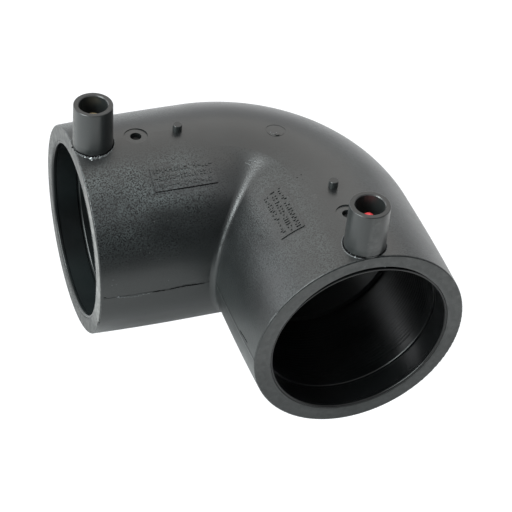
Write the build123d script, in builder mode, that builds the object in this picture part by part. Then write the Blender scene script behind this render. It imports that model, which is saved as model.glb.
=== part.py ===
from build123d import *
import os
from math import asin, cos, sin, sqrt, pi, radians

# ---------------------------------------------------------------------------
# 90 degree electrofusion elbow with two plain sockets, millimetres, +Z up.
# It lies on its side: both socket axes are level and both terminals point up.
# The origin is the middle of its footprint, on the surface that it lies on.
# ---------------------------------------------------------------------------

# outside of the moulded body
Z_LEN = 82.0          # from the crossing of the two socket axes to each mouth face
R_MOUTH = 39.0        # outer radius at the mouth
R_BODY = 39.8         # outer radius of the inner end of each leg and of the bend
BARREL = 36.0         # length over which the leg grows from R_MOUTH to R_BODY
RB = 34.6             # centreline radius of the bend
RIM_ROUND = 0.5       # outer edge of the mouth face
CROTCH_R = 2.4        # fillet of the inner corner, at and near the level of the axes
CROTCH_TOP = 38.2     # height where that fillet has become the bend's own round

# inside
PIPE_R = 31.9         # fusion bore, for a 63 mm pipe
LIP_R = 32.15         # lip at the mouth
ENTRY_R = 32.45       # cold entry zone
STEP_D = 10.35        # depth of the step where the fusion zone starts
STOP_D = 45.2         # depth of the pipe stop
PASS_R = 29.8         # passage through the bend
SLEEVE_R = 34.58      # outside of the winding sleeve
POCKET_R = 34.6       # its pocket in the body
NECK_R = 33.1         # turned-down end of the sleeve
NECK_D = 1.5
LIP_ROUND = 0.7       # inner edge of the sleeve's end
MOUTH_HOLE_R = 33.15  # hole of the body's lip round the sleeve's end

# heating wire
WIRE_R = 0.4
WIRE_FLATS_R = 0.4216 # corner radius of the eight-sided section with the same area
WIRE_CLEAR = 0.03
COIL_R = 32.75
COIL_PITCH = 1.4
COIL_START = 13.0
COIL_TURNS = 20
LEAD_OUT = 43.0       # depth where the coil's inner lead meets the link wire

# terminals
TERM_D = 7.35         # terminal axis from the mouth face
SHROUD_R = 7.0
SHROUD_R_FOOT = 7.25
SHROUD_BORE_R = 5.1
SHROUD_TOP = 56.3     # above the socket axis
SHROUD_FLOOR = SHROUD_TOP - 12.0
PIN_R = 2.0
PIN_TOP = SHROUD_TOP - 4.8
PIN_FOOT = 37.5
SEAT_R = 2.3          # part of the pin that is held in the plastic
FLANGE_R = 3.2
FLANGE_LOW = 40.0
FLANGE_HIGH = 41.0
CORE_R = 1.3          # bore of the second pin, which holds a plastic core
CORE_HEAD_R = 1.75    # head of the core, on the pin's end

# fusion indicators and locating stubs, in line behind each terminal
WELL_D = 23.1
WELL_R = 2.05
WELL_FLOOR = 35.9
WELL_RECESS_R = 4.3
WELL_RECESS_Z = 39.25
INDICATOR_R = 1.45
INDICATOR_TOP = 38.0
STUB_D = 38.0
STUB_R = 1.72
STUB_TOP = R_BODY + 2.8

# marking panels on the inner shoulder of each leg
PANEL_D = 35.4
PANEL_L = 23.6
PANEL_W = 9.4
PANEL_ANGLE = 29.5    # from the top of the leg towards the inside of the elbow
PANEL_RISE = 0.32
MARK_RISE = 0.30

CROSS = (Z_LEN - R_BODY) / 2          # x and y of the crossing of the axes
AXIS_Z = R_BODY                       # height of the socket axes
LEG_A = Location((CROSS - Z_LEN, CROSS, AXIS_Z))
LEG_B = Location((CROSS, CROSS - Z_LEN, AXIS_Z), (0, 0, 90))
BEND_X = CROSS - RB                   # upright axis of the bend
BEND_Y = CROSS - RB
LEG_L = Z_LEN - RB                    # straight length of each leg

BARREL_ARC = BARREL ** 2 / (2 * (R_BODY - R_MOUTH))


def leg_radius(d):
    """Outer radius of a leg at a depth from its mouth."""
    return R_BODY - max(BARREL - d, 0) ** 2 / (2 * BARREL_ARC)


# ---------------------------------------------------------------------------
# The pieces of one leg are drawn in the leg's own frame: the mouth face is at
# x = 0, the socket axis runs along +X into the elbow, and +Z is up.
# ---------------------------------------------------------------------------

# outside of one leg, slightly barrelled, with a rounded outer edge at its mouth
with BuildPart() as leg_skin:
    with BuildSketch(Plane.XZ) as leg_profile:
        with BuildLine():
            Polyline((LEG_L, R_BODY), (LEG_L, 0), (0, 0), (0, R_MOUTH - RIM_ROUND))
            ThreePointArc(
                (0, R_MOUTH - RIM_ROUND),
                (RIM_ROUND * (1 - cos(pi / 4)), R_MOUTH - RIM_ROUND + RIM_ROUND * sin(pi / 4)),
                (RIM_ROUND, leg_radius(RIM_ROUND)),
            )
            ThreePointArc(
                (RIM_ROUND, leg_radius(RIM_ROUND)),
                (BARREL / 2, leg_radius(BARREL / 2)),
                (BARREL, R_BODY),
            )
            Line((BARREL, R_BODY), (LEG_L, R_BODY))
        make_face()
    revolve(axis=Axis.X)

# shallow witness groove round the foot of the terminal shroud
with BuildPart() as foot_groove:
    with BuildSketch(Plane.XY.offset(30)):
        with Locations((TERM_D, 0)):
            Circle(SHROUD_R_FOOT + 0.35)
            Circle(SHROUD_R_FOOT - 0.4, mode=Mode.SUBTRACT)
    extrude(amount=15)
    with BuildSketch(Plane.YZ.offset(-5)):
        Circle(R_MOUTH - 0.35)
    extrude(amount=30, mode=Mode.SUBTRACT)

# parting ridge along both sides of the leg, level with its axis
with BuildPart() as leg_ridge:
    with BuildSketch(Plane.XY):
        with BuildLine():
            Line((1.0, leg_radius(1.0) - 0.5), (1.0, leg_radius(1.0) + 0.1))
            ThreePointArc(
                (1.0, leg_radius(1.0) + 0.1),
                (BARREL / 2, leg_radius(BARREL / 2) + 0.1),
                (BARREL, R_BODY + 0.1),
            )
            Polyline(
                (BARREL, R_BODY + 0.1),
                (LEG_L, R_BODY + 0.1),
                (LEG_L, R_BODY - 0.5),
                (1.0, leg_radius(1.0) - 0.5),
            )
        make_face()
        mirror(about=Plane.XZ)
    extrude(amount=0.14, both=True)

# terminal shroud, tapered a little, standing on the leg
with BuildPart() as shroud:
    with BuildSketch(Plane.XY.offset(36.6)):
        with Locations((TERM_D, 0)):
            Circle(SHROUD_R_FOOT)
    with BuildSketch(Plane.XY.offset(SHROUD_TOP)):
        with Locations((TERM_D, 0)):
            Circle(SHROUD_R)
    loft()
    fillet(shroud.edges().filter_by(GeomType.CIRCLE).sort_by(Axis.Z)[-1], radius=0.35)

# locating stub
with BuildPart() as stub:
    with BuildSketch(Plane.XY.offset(37.0)):
        Circle(STUB_R)
    extrude(amount=STUB_TOP - 37.0)
    fillet(stub.edges().filter_by(GeomType.CIRCLE).sort_by(Axis.Z)[-1], radius=0.25)

# small dent in the outer edge of the first mouth, below its parting line
nick_angle = radians(20.3)
nick_plane = Plane(
    origin=(0, -(R_MOUTH + 0.05) * cos(nick_angle), -(R_MOUTH + 0.05) * sin(nick_angle)),
    x_dir=(1, 0, 0),
    z_dir=(0, sin(nick_angle), -cos(nick_angle)),
)
with BuildPart() as rim_nick:
    with BuildSketch(nick_plane):
        Polygon((-0.9, 0.3), (0.95, 0.2), (0.35, -0.5), (-0.5, -0.75), align=None)
    extrude(amount=1.7, both=True, taper=14)

# skin of a leg with a small rise, from which the panel and its marks are cut
with BuildPart() as panel_plate:
    with BuildSketch(Plane.XZ):
        with BuildLine():
            d0, d1 = PANEL_D - 14, LEG_L
            ThreePointArc(
                (d0, leg_radius(d0) + PANEL_RISE),
                ((d0 + BARREL) / 2, leg_radius((d0 + BARREL) / 2) + PANEL_RISE),
                (BARREL, R_BODY + PANEL_RISE),
            )
            Polyline(
                (BARREL, R_BODY + PANEL_RISE),
                (d1, R_BODY + PANEL_RISE),
                (d1, 37.0),
                (d0, 37.0),
                (d0, leg_radius(d0) + PANEL_RISE),
            )
        make_face()
    revolve(axis=Axis.X)
    panel_dir = Vector(0, -sin(radians(PANEL_ANGLE)), cos(radians(PANEL_ANGLE)))
    panel_plane = Plane(origin=(PANEL_D, 0, 0), x_dir=(1, 0, 0), z_dir=panel_dir)
    with BuildSketch(panel_plane.offset(30)):
        RectangleRounded(PANEL_L, PANEL_W, 0.5)
    extrude(amount=14, mode=Mode.INTERSECT)

# three rows of plain bars and dots on the panel
mark_boxes = []
for row, v in enumerate((2.85, 0.0, -2.85)):
    u = -PANEL_L / 2 + 1.1
    i = 0
    while u < PANEL_L / 2 - 1.9:
        kind = (i * 5 + row * 3 + (i * i) // 3) % 7
        if kind == 0:
            mark_boxes.append((u + 0.25, v, 0.5, 1.7))
            step = 1.05
        elif kind == 1:
            mark_boxes.append((u + 0.5, v + 0.6, 1.0, 0.5))
            mark_boxes.append((u + 0.5, v - 0.6, 1.0, 0.5))
            step = 1.55
        elif kind == 2:
            mark_boxes.append((u + 0.35, v - 0.5, 0.7, 0.7))
            step = 1.2
        elif kind == 3:
            mark_boxes.append((u + 0.55, v, 1.1, 0.5))
            step = 1.6
        elif kind == 4:
            mark_boxes.append((u + 0.25, v + 0.35, 0.5, 1.0))
            mark_boxes.append((u + 1.05, v - 0.35, 0.5, 1.0))
            step = 1.8
        elif kind == 5:
            mark_boxes.append((u + 0.35, v + 0.5, 0.7, 0.7))
            mark_boxes.append((u + 0.35, v - 0.6, 0.7, 0.5))
            step = 1.25
        else:
            step = 0.9
        u += step
        i += 1

with BuildPart() as panel_marks:
    with BuildSketch(Plane.XZ):
        with BuildLine():
            top = PANEL_RISE + MARK_RISE
            ThreePointArc(
                (d0, leg_radius(d0) + top),
                ((d0 + BARREL) / 2, leg_radius((d0 + BARREL) / 2) + top),
                (BARREL, R_BODY + top),
            )
            Polyline(
                (BARREL, R_BODY + top),
                (d1, R_BODY + top),
                (d1, 38.0),
                (d0, 38.0),
                (d0, leg_radius(d0) + top),
            )
        make_face()
    revolve(axis=Axis.X)
    with BuildSketch(panel_plane.offset(30)):
        for mu, mv, mw, mh in mark_boxes:
            with Locations((mu, mv)):
                Rectangle(mw, mh)
    extrude(amount=14, mode=Mode.INTERSECT)

# ---------------------------------------------------------------------------
# winding sleeve with its embedded coil
# ---------------------------------------------------------------------------
coil_end_d = COIL_START + COIL_PITCH * COIL_TURNS

# half a turn of the winding, its round wire drawn with eight narrow flats
with BuildPart() as half_turn:
    with BuildLine() as half_line:
        Helix(
            pitch=COIL_PITCH,
            height=COIL_PITCH / 2,
            radius=COIL_R,
            center=(COIL_START, 0, 0),
            direction=(1, 0, 0),
        )
    with BuildSketch(Plane(origin=half_line.line @ 0, z_dir=half_line.line % 0)):
        RegularPolygon(WIRE_FLATS_R, 8)
    sweep(path=half_line.line, is_frenet=True, clean=False)

with BuildPart() as half_turn_room:
    with BuildSketch(Plane(origin=half_line.line @ 0, z_dir=half_line.line % 0)):
        RegularPolygon(WIRE_FLATS_R + WIRE_CLEAR, 8)
    sweep(path=half_line.line, is_frenet=True, clean=False)

half_turns = [
    Location((COIL_PITCH / 2 * i, 0, 0), (180 * (i % 2), 0, 0))
    for i in range(2 * COIL_TURNS)
]

with BuildPart() as weld_balls:
    with Locations((COIL_START, 0, COIL_R), (coil_end_d, 0, COIL_R)):
        Sphere(WIRE_R + 0.12)

with BuildPart() as heating_coil_a:
    with Locations(*half_turns):
        add(half_turn.part, clean=False)
    # welded ends
    add(weld_balls.part, clean=False)
    # outer lead, up to the foot of the terminal pin
    with BuildLine() as lead_line:
        FilletPolyline(
            (COIL_START, 0, COIL_R),
            (TERM_D, 0, COIL_R + 2.4),
            (TERM_D, 0, PIN_FOOT),
            radius=1.0,
        )
    with BuildSketch(Plane(origin=lead_line.line @ 0, z_dir=lead_line.line % 0)):
        Circle(WIRE_R)
    sweep(path=lead_line.line, clean=False)
    # inner lead, straight in towards the link wire
    with BuildSketch(Plane.YZ.offset(coil_end_d)):
        with Locations((0, COIL_R)):
            Circle(WIRE_R)
    extrude(amount=LEAD_OUT - coil_end_d, clean=False)

# the room that the wire takes up in the mouldings
with BuildPart() as weld_room:
    with Locations((COIL_START, 0, COIL_R), (coil_end_d, 0, COIL_R)):
        Sphere(WIRE_R + 0.12 + WIRE_CLEAR)

with BuildPart() as wire_room:
    with Locations(*half_turns):
        add(half_turn_room.part, clean=False)
    add(weld_room.part, clean=False)
    with BuildSketch(Plane(origin=lead_line.line @ 0, z_dir=lead_line.line % 0)):
        Circle(WIRE_R + WIRE_CLEAR)
    sweep(path=lead_line.line, clean=False)
    with BuildSketch(Plane.YZ.offset(coil_end_d)):
        with Locations((0, COIL_R)):
            Circle(WIRE_R + WIRE_CLEAR)
    extrude(amount=LEG_L - coil_end_d + 0.1, clean=False)

with BuildPart() as coil_sleeve_a:
    with BuildSketch(Plane.XZ):
        with BuildLine():
            Polyline(
                (0, LIP_R + LIP_ROUND),
                (0, NECK_R - 0.15),
                (0.15, NECK_R),
                (NECK_D, NECK_R),
                (NECK_D, SLEEVE_R),
                (STOP_D, SLEEVE_R),
                (STOP_D, PIPE_R),
                (STEP_D + 0.3, PIPE_R),
                (STEP_D, PIPE_R + 0.15),
                (STEP_D - 0.1, ENTRY_R + 0.45),
                (STEP_D - 0.75, ENTRY_R + 0.45),
                (STEP_D - 0.9, ENTRY_R),
                (1.7, ENTRY_R),
                (1.3, LIP_R),
                (LIP_ROUND, LIP_R),
            )
            ThreePointArc(
                (LIP_ROUND, LIP_R),
                (LIP_ROUND * (1 - cos(pi / 4)), LIP_R + LIP_ROUND * (1 - cos(pi / 4))),
                (0, LIP_R + LIP_ROUND),
            )
        make_face()
    revolve(axis=Axis.X)
    add(wire_room.part, mode=Mode.SUBTRACT, clean=False)

# ---------------------------------------------------------------------------
# terminal pins, plastic core and fusion indicator
# ---------------------------------------------------------------------------
with BuildPart() as terminal_pin_a:
    with BuildSketch(Plane.XZ):
        with BuildLine():
            Polyline(
                (TERM_D, PIN_FOOT),
                (TERM_D + SEAT_R - 0.3, PIN_FOOT),
                (TERM_D + SEAT_R, PIN_FOOT + 0.3),
                (TERM_D + SEAT_R, FLANGE_LOW),
                (TERM_D + FLANGE_R, FLANGE_LOW),
                (TERM_D + FLANGE_R, FLANGE_HIGH),
                (TERM_D + SEAT_R, FLANGE_HIGH),
                (TERM_D + SEAT_R, SHROUD_FLOOR),
                (TERM_D + PIN_R, SHROUD_FLOOR),
                (TERM_D + PIN_R, PIN_TOP - 0.45),
            )
            ThreePointArc(
                (TERM_D + PIN_R, PIN_TOP - 0.45),
                (TERM_D + PIN_R - 0.15, PIN_TOP - 0.12),
                (TERM_D + PIN_R - 0.5, PIN_TOP),
            )
            Polyline((TERM_D + PIN_R - 0.5, PIN_TOP), (TERM_D, PIN_TOP), (TERM_D, PIN_FOOT))
        make_face()
    revolve(axis=Axis((TERM_D, 0, 0), (0, 0, 1)))

CORE_HEAD = 1.0
CORE_TOP = PIN_TOP + 0.6
DOME_R = (CORE_HEAD_R ** 2 + 0.7 ** 2) / 1.4     # domed top of the core's head
DOME_HALF = asin(CORE_HEAD_R / DOME_R) / 2
with BuildPart() as pin_b_local:
    with BuildSketch(Plane.XZ):
        with BuildLine():
            Polyline(
                (TERM_D, PIN_FOOT),
                (TERM_D + SEAT_R - 0.3, PIN_FOOT),
                (TERM_D + SEAT_R, PIN_FOOT + 0.3),
                (TERM_D + SEAT_R, FLANGE_LOW),
                (TERM_D + FLANGE_R, FLANGE_LOW),
                (TERM_D + FLANGE_R, FLANGE_HIGH),
                (TERM_D + SEAT_R, FLANGE_HIGH),
                (TERM_D + SEAT_R, SHROUD_FLOOR),
                (TERM_D + PIN_R, SHROUD_FLOOR),
                (TERM_D + PIN_R, PIN_TOP - CORE_HEAD),
                (TERM_D + CORE_R, PIN_TOP - CORE_HEAD),
                (TERM_D + CORE_R, PIN_TOP - CORE_HEAD - 5.0),
                (TERM_D, PIN_TOP - CORE_HEAD - 5.0),
                (TERM_D, PIN_FOOT),
            )
        make_face()
    revolve(axis=Axis((TERM_D, 0, 0), (0, 0, 1)))

with BuildPart() as core_local:
    with BuildSketch(Plane.XZ):
        with BuildLine():
            Polyline(
                (TERM_D, CORE_TOP),
                (TERM_D, PIN_TOP - CORE_HEAD - 4.9),
                (TERM_D + CORE_R - 0.02, PIN_TOP - CORE_HEAD - 4.9),
                (TERM_D + CORE_R - 0.02, PIN_TOP - CORE_HEAD),
                (TERM_D + CORE_HEAD_R, PIN_TOP - CORE_HEAD),
                (TERM_D + CORE_HEAD_R, CORE_TOP - 0.7),
            )
            ThreePointArc(
                (TERM_D + CORE_HEAD_R, CORE_TOP - 0.7),
                (TERM_D + DOME_R * sin(DOME_HALF), CORE_TOP - DOME_R * (1 - cos(DOME_HALF))),
                (TERM_D, CORE_TOP),
            )
        make_face()
    revolve(axis=Axis((TERM_D, 0, 0), (0, 0, 1)))

with BuildPart() as fusion_indicator_a:
    with BuildSketch(Plane.XY.offset(WELL_FLOOR)):
        with Locations((WELL_D, 0)):
            Circle(INDICATOR_R)
    extrude(amount=INDICATOR_TOP - WELL_FLOOR)
    fillet(fusion_indicator_a.edges().filter_by(GeomType.CIRCLE).sort_by(Axis.Z)[-1], radius=0.3)

# ---------------------------------------------------------------------------
# what is open in each leg of the body
# ---------------------------------------------------------------------------
with BuildPart() as leg_void:
    # pocket of the winding sleeve
    with BuildSketch(Plane.YZ.offset(NECK_D)):
        Circle(POCKET_R)
    extrude(amount=STOP_D - NECK_D)
    # hole of the lip round the sleeve's end
    with BuildSketch(Plane.YZ.offset(-1)):
        Circle(MOUTH_HOLE_R)
    extrude(amount=NECK_D + 1)
    # passage beyond the pipe stop
    with BuildSketch(Plane.YZ.offset(STOP_D - 1)):
        Circle(PASS_R)
    extrude(amount=LEG_L - STOP_D + 1)
    # bore of the shroud, with a small lead-in
    with BuildSketch(Plane.XZ):
        with BuildLine():
            Polyline(
                (TERM_D, SHROUD_FLOOR),
                (TERM_D + SHROUD_BORE_R, SHROUD_FLOOR),
                (TERM_D + SHROUD_BORE_R, SHROUD_TOP - 0.3),
                (TERM_D + SHROUD_BORE_R + 0.3, SHROUD_TOP),
                (TERM_D + SHROUD_BORE_R + 0.3, SHROUD_TOP + 2),
                (TERM_D, SHROUD_TOP + 2),
                (TERM_D, SHROUD_FLOOR),
            )
        make_face()
    revolve(axis=Axis((TERM_D, 0, 0), (0, 0, 1)))
    # seat of the terminal pin and its flange
    with BuildSketch(Plane.XZ):
        with BuildLine():
            Polyline(
                (TERM_D, PIN_FOOT - 0.02),
                (TERM_D + SEAT_R + 0.02, PIN_FOOT - 0.02),
                (TERM_D + SEAT_R + 0.02, FLANGE_LOW - 0.02),
                (TERM_D + FLANGE_R + 0.02, FLANGE_LOW - 0.02),
                (TERM_D + FLANGE_R + 0.02, FLANGE_HIGH + 0.02),
                (TERM_D + SEAT_R + 0.02, FLANGE_HIGH + 0.02),
                (TERM_D + SEAT_R + 0.02, SHROUD_FLOOR + 0.5),
                (TERM_D, SHROUD_FLOOR + 0.5),
                (TERM_D, PIN_FOOT - 0.02),
            )
        make_face()
    revolve(axis=Axis((TERM_D, 0, 0), (0, 0, 1)))
    # well of the fusion indicator, with a shallow round recess at its mouth
    with BuildSketch(Plane.XY.offset(WELL_FLOOR)):
        with Locations((WELL_D, 0)):
            Circle(WELL_R)
    extrude(amount=8)
    with BuildSketch(Plane.XY.offset(WELL_RECESS_Z)):
        with Locations((WELL_D, 0)):
            Circle(WELL_RECESS_R)
    extrude(amount=3)
    # channels of the lead and the link wire
    with BuildSketch(Plane(origin=lead_line.line @ 0, z_dir=lead_line.line % 0)):
        Circle(WIRE_R + WIRE_CLEAR)
    sweep(path=lead_line.line)
    with BuildSketch(Plane.YZ.offset(LEAD_OUT)):
        with Locations((0, COIL_R)):
            Circle(WIRE_R + WIRE_CLEAR)
    extrude(amount=LEG_L - LEAD_OUT)

# crescent gap beside the sleeve's end: low on the inner side of the first
# mouth, and at the top of the second
with BuildPart() as crescent_a:
    with BuildSketch(Plane.YZ.offset(-1)):
        with Locations((-2.7 * sin(radians(52)), 2.7 * cos(radians(52)))):
            Circle(31.15)
    extrude(amount=NECK_D + 1)

with BuildPart() as crescent_b:
    with BuildSketch(Plane.YZ.offset(-1)):
        with Locations((0.25, 3.2)):
            Circle(31.1)
    extrude(amount=NECK_D + 1)

# ---------------------------------------------------------------------------
# bend, in the elbow's frame
# ---------------------------------------------------------------------------
bend_plane = Plane(origin=(BEND_X, BEND_Y, AXIS_Z), x_dir=(0, 1, 0), z_dir=(1, 0, 0))
bend_axis = Axis((BEND_X, BEND_Y, AXIS_Z), (0, 0, 1))



def crotch_radius(z):
    """Fillet radius of the inner corner at a height from the axes' level."""
    if abs(z) <= 22:
        return CROTCH_R
    t = (abs(z) - 22) / (CROTCH_TOP - 22)
    r_top = RB - sqrt(R_BODY ** 2 - CROTCH_TOP ** 2) - 0.02
    return CROTCH_R + (r_top - CROTCH_R) * (0.12 * t ** 2 + 0.88 * t ** 5.5)


# what the tighter inner corner leaves free above and below the level of the axes
with BuildPart() as corner_cut:
    for z in (20.5, 22.5, 25, 27, 29, 30.5, 32, 33.3, 34.5, 35.5, 36.4, 37.2, 37.8, CROTCH_TOP):
        h = sqrt(R_BODY ** 2 - z ** 2)
        g = crotch_radius(z) * 0.93
        q = CROSS - h - 0.004
        with BuildSketch(Plane.XY.offset(AXIS_Z + z)):
            with BuildLine():
                ThreePointArc(
                    (q - g, q),
                    (q - g + g * cos(pi / 4), q - g + g * sin(pi / 4)),
                    (q, q - g),
                )
                Polyline(
                    (q, q - g),
                    (q, BEND_Y - 4),
                    (BEND_X - 4, BEND_Y - 4),
                    (BEND_X - 4, q),
                    (q - g, q),
                )
            make_face()
    loft()
    mirror(about=Plane.XY.offset(AXIS_Z))

with BuildPart() as bend_skin:
    # a circle round the centreline, cut off at the axis of the bend
    with BuildSketch(bend_plane):
        with Locations((RB, 0)):
            Circle(R_BODY)
        with Locations((-50, 0)):
            Rectangle(100, 100, mode=Mode.SUBTRACT)
    revolve(axis=bend_axis, revolution_arc=-90)
    add(corner_cut.part, mode=Mode.SUBTRACT)

# the fillet of the inner corner, which opens out into the bend at its top and bottom
crotch_levels = (0, 4.5, 9, 13, 17, 20, 22.5, 25, 27, 29, 30.5, 32, 33.3, 34.5, 35.5, 36.4, 37.2, 37.8, CROTCH_TOP)
with BuildPart() as crotch:
    for z in [-level for level in crotch_levels[:0:-1]] + list(crotch_levels):
        h = sqrt(R_BODY ** 2 - z ** 2)
        g = crotch_radius(z)
        e = 0.012
        cx, cy = CROSS - h - g + e, CROSS - h - g + e
        with BuildSketch(Plane.XY.offset(AXIS_Z + z)):
            with BuildLine():
                ThreePointArc(
                    (cx, cy + g),
                    (cx + g * cos(pi / 4), cy + g * sin(pi / 4)),
                    (cx + g, cy),
                )
                Polyline(
                    (cx + g, cy),
                    (cx + g + 3, cy),
                    (cx + g + 3, cy + g + 3),
                    (cx, cy + g + 3),
                    (cx, cy + g),
                )
            make_face()
    loft()

with BuildPart() as bend_void:
    with BuildSketch(bend_plane):
        with Locations((RB, 0)):
            Circle(PASS_R)
    revolve(axis=bend_axis, revolution_arc=-90)
    # channel of the link wire, over the top of the passage
    with BuildSketch(bend_plane):
        with Locations((RB, COIL_R)):
            Circle(WIRE_R + WIRE_CLEAR)
    revolve(axis=bend_axis, revolution_arc=-90)

# parting ridge round the outside of the bend
with BuildPart() as bend_ridge:
    with BuildSketch(Plane.XY.offset(AXIS_Z)):
        with BuildLine():
            CenterArc((BEND_X, BEND_Y), RB + R_BODY + 0.1, 0, 90)
            CenterArc((BEND_X, BEND_Y), RB + R_BODY - 0.5, 0, 90)
            Line((BEND_X + RB + R_BODY - 0.5, BEND_Y), (BEND_X + RB + R_BODY + 0.1, BEND_Y))
            Line((BEND_X, BEND_Y + RB + R_BODY - 0.5), (BEND_X, BEND_Y + RB + R_BODY + 0.1))
        make_face()
    extrude(amount=0.14, both=True)

# gate scar on top of the bend: a thin ring and a low nub
gate_x = BEND_X + RB * cos(pi / 4) + 1.0
gate_y = BEND_Y + RB * sin(pi / 4) + 0.7
with BuildPart() as gate_ring:
    with BuildSketch(Plane.XY.offset(AXIS_Z + 35)):
        with Locations((gate_x, gate_y)):
            Circle(3.7)
            Circle(3.25, mode=Mode.SUBTRACT)
    extrude(amount=8)
    with BuildSketch(bend_plane):
        with Locations((RB, 0)):
            Circle(R_BODY - 0.1)
        with Locations((-50, 0)):
            Rectangle(100, 100, mode=Mode.SUBTRACT)
    revolve(axis=bend_axis, revolution_arc=-90, mode=Mode.SUBTRACT)

with BuildPart() as gate_nub:
    with BuildSketch(Plane.XY.offset(AXIS_Z + R_BODY - 1)):
        with Locations((gate_x - 0.2, gate_y - 2.3)):
            Ellipse(0.9, 0.6, rotation=-20)
    extrude(amount=1.25)

# ---------------------------------------------------------------------------
# the moulded body
# ---------------------------------------------------------------------------
with BuildPart() as elbow_body:
    with Locations(LEG_A, LEG_B):
        add(leg_skin.part)
    add(bend_skin.part)
    add(crotch.part)
    with Locations(LEG_A, LEG_B):
        add(leg_ridge.part)
    add(bend_ridge.part)
    with Locations(LEG_A):
        add(panel_plate.part)
        add(panel_marks.part)
        add(rim_nick.part, mode=Mode.SUBTRACT)
    with Locations(LEG_B):
        add(panel_plate.part.mirror(Plane.XZ))
        add(panel_marks.part.mirror(Plane.XZ))
    add(gate_ring.part, mode=Mode.SUBTRACT)
    add(gate_nub.part)
    with Locations(LEG_A, LEG_B):
        add(foot_groove.part, mode=Mode.SUBTRACT)
        add(shroud.part)
        add(leg_void.part, mode=Mode.SUBTRACT)
    with Locations(LEG_A):
        add(crescent_a.part, mode=Mode.SUBTRACT)
    with Locations(LEG_B):
        add(crescent_b.part, mode=Mode.SUBTRACT)
    with Locations(LEG_A * Location((STUB_D + 0.3, -0.8, 0)), LEG_B * Location((STUB_D - 0.3, 0, 0))):
        add(stub.part)
    add(bend_void.part, mode=Mode.SUBTRACT)

# ---------------------------------------------------------------------------
# link wire between the two coils: straight, round the bend, straight
# ---------------------------------------------------------------------------
with BuildPart() as coil_link_wire:
    link_z = AXIS_Z + COIL_R
    ax = CROSS - Z_LEN + LEAD_OUT
    with BuildLine() as link_line:
        Line((ax, CROSS, link_z), (BEND_X, CROSS, link_z))
        ThreePointArc(
            (BEND_X, CROSS, link_z),
            (BEND_X + RB * cos(pi / 4), BEND_Y + RB * sin(pi / 4), link_z),
            (CROSS, BEND_Y, link_z),
        )
        Line((CROSS, BEND_Y, link_z), (CROSS, ax, link_z))
    with BuildSketch(Plane(origin=(ax, CROSS, link_z), z_dir=(1, 0, 0))):
        Circle(WIRE_R)
    sweep(path=link_line.line)

# ---------------------------------------------------------------------------
# placing
# ---------------------------------------------------------------------------
with BuildPart() as sleeve_a:
    with Locations(LEG_A):
        add(coil_sleeve_a.part, clean=False)
with BuildPart() as sleeve_b:
    with Locations(LEG_B):
        add(coil_sleeve_a.part, clean=False)
with BuildPart() as coil_a:
    with Locations(LEG_A):
        add(heating_coil_a.part, clean=False)
with BuildPart() as coil_b:
    with Locations(LEG_B):
        add(heating_coil_a.part, clean=False)
with BuildPart() as pin_a:
    with Locations(LEG_A):
        add(terminal_pin_a.part)
with BuildPart() as pin_b:
    with Locations(LEG_B):
        add(pin_b_local.part)
with BuildPart() as core_b:
    with Locations(LEG_B):
        add(core_local.part)
with BuildPart() as indicator_a:
    with Locations(LEG_A):
        add(fusion_indicator_a.part)
with BuildPart() as indicator_b:
    with Locations(LEG_B):
        add(fusion_indicator_a.part)

os.makedirs("parts", exist_ok=True)
for piece, label in (
    (elbow_body, "elbow_body"),
    (sleeve_a, "winding_sleeve_a"),
    (sleeve_b, "winding_sleeve_b"),
    (coil_a, "heating_coil_a"),
    (coil_b, "heating_coil_b"),
    (coil_link_wire, "coil_link_wire"),
    (pin_a, "terminal_pin_a"),
    (pin_b, "terminal_pin_b"),
    (core_b, "pin_core_b"),
    (indicator_a, "fusion_indicator_a"),
    (indicator_b, "fusion_indicator_b"),
):
    piece.part.label = label
    export_step(piece.part, "parts/" + label + ".step")
    bb = piece.part.bounding_box()
    print(label, round(piece.part.volume, 1), len(piece.part.solids()), piece.part.is_valid, bb)
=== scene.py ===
import math
import random

import bpy
import numpy as np
from mathutils import Matrix, Vector
from mathutils.bvhtree import BVHTree


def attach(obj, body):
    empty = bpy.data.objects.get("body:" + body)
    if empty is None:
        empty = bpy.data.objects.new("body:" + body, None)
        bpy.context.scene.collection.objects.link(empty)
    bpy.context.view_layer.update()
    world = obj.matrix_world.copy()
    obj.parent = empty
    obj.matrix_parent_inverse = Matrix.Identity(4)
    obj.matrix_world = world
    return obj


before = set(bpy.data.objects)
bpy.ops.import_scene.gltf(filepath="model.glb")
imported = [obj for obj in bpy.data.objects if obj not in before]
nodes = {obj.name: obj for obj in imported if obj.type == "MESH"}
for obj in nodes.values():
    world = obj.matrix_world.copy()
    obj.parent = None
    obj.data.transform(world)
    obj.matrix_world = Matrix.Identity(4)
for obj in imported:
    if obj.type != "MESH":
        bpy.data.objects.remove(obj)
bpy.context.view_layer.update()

# ---------------------------------------------------------------------------
# measures of the elbow, in metres, in the row frame
# ---------------------------------------------------------------------------
MM = 0.001
CROSS = 21.1 * MM        # x and y of the crossing of the socket axes
AXIS_Z = 39.8 * MM
Z_LEN = 82.0 * MM
R_MOUTH = 39.0 * MM
R_BODY = 39.8 * MM
BARREL = 36.0 * MM
RB = 34.6 * MM
BEND = CROSS - RB
PIPE_R = 31.9 * MM
BARREL_ARC = BARREL ** 2 / (2 * (R_BODY - R_MOUTH))

# a leg's own frame: x is the depth from its mouth, y is sideways and z is up
LEG_A = Matrix.Translation((CROSS - Z_LEN, CROSS, AXIS_Z))
LEG_B = Matrix.Translation((CROSS, CROSS - Z_LEN, AXIS_Z)) @ Matrix.Rotation(math.radians(90), 4, "Z")


def leg_radius(d):
    """Outer radius of a leg at depth d from its mouth."""
    return R_BODY - max(BARREL - d, 0.0) ** 2 / (2 * BARREL_ARC)


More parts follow.
